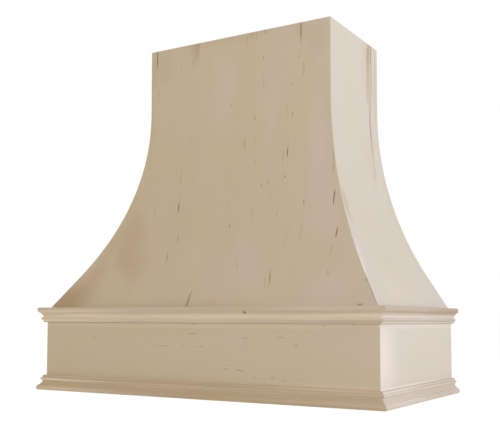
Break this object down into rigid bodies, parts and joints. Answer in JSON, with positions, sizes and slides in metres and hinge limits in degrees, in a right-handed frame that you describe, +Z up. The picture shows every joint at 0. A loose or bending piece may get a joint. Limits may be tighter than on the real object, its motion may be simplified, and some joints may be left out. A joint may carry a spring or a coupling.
{
  "type": "range hood cover",
  "caption": "Hollow wooden cover for a kitchen range hood: a straight neck that flares on three sides down to an upright band with mouldings, open above, below and at the wall.",
  "frame": {"origin": "on the plane of the underside, below the middle of the outline", "axes": "+X to the cover's right as seen from the room, -Y towards the room, +Y towards the wall, +Z up"},
  "size_m": [0.9524, 0.5144, 0.9144],
  "materials": {
    "maple_veneer": "unfinished sanded maple veneer, grain upright",
    "maple_board": "unfinished sanded maple, grain level",
    "maple_moulding": "unfinished milled maple, grain along the length",
    "plywood": "raw birch plywood, plies showing on the cut edges",
    "softwood": "raw pine",
    "zinc_steel": "zinc plated"
  },
  "bodies": {
    "root": {"front_skin": "maple_veneer", "left_side_skin": "maple_veneer", "right_side_skin": "maple_veneer", "band_front_board": "maple_board", "band_left_board": "maple_board", "band_right_board": "maple_board", "top_trim_front": "maple_moulding", "top_trim_left": "maple_moulding", "top_trim_right": "maple_moulding", "bottom_trim_front": "maple_moulding", "bottom_trim_left": "maple_moulding", "bottom_trim_right": "maple_moulding", "top_rail_front": "plywood", "top_rail_left": "plywood", "top_rail_right": "plywood", "upper_hanging_rail": "plywood", "shelf_rail_front": "plywood", "shelf_rail_left": "plywood", "shelf_rail_right": "plywood", "shelf_rail_back": "plywood", "hip_rib_left": "plywood", "hip_rib_right": "plywood", "front_rib_left": "plywood", "front_rib_right": "plywood", "side_rib_left": "plywood", "side_rib_right": "plywood", "back_rib_left": "plywood", "back_rib_right": "plywood", "lower_hanging_rail": "plywood", "insert_ledger_front": "softwood", "insert_ledger_left": "softwood", "insert_ledger_right": "softwood", "insert_ledger_back": "softwood", "corner_block_left": "softwood", "corner_block_right": "softwood", "back_foot_screw_left": "zinc_steel", "back_foot_screw_right": "zinc_steel", "back_top_screw_left": "zinc_steel", "back_top_screw_right": "zinc_steel", "front_foot_screw_left": "zinc_steel", "front_foot_screw_right": "zinc_steel", "front_top_screw_left": "zinc_steel", "front_top_screw_right": "zinc_steel", "hip_foot_screw_left": "zinc_steel", "hip_foot_screw_right": "zinc_steel", "hip_top_screw_left": "zinc_steel", "hip_top_screw_right": "zinc_steel", "ledger_screw_back_1": "zinc_steel", "ledger_screw_back_2": "zinc_steel", "ledger_screw_front_1": "zinc_steel", "ledger_screw_front_2": "zinc_steel", "ledger_screw_left_1": "zinc_steel", "ledger_screw_left_2": "zinc_steel", "ledger_screw_right_1": "zinc_steel", "ledger_screw_right_2": "zinc_steel", "side_foot_screw_left": "zinc_steel", "side_foot_screw_right": "zinc_steel", "side_top_screw_left": "zinc_steel", "side_top_screw_right": "zinc_steel"}
  },
  "joints": []
}
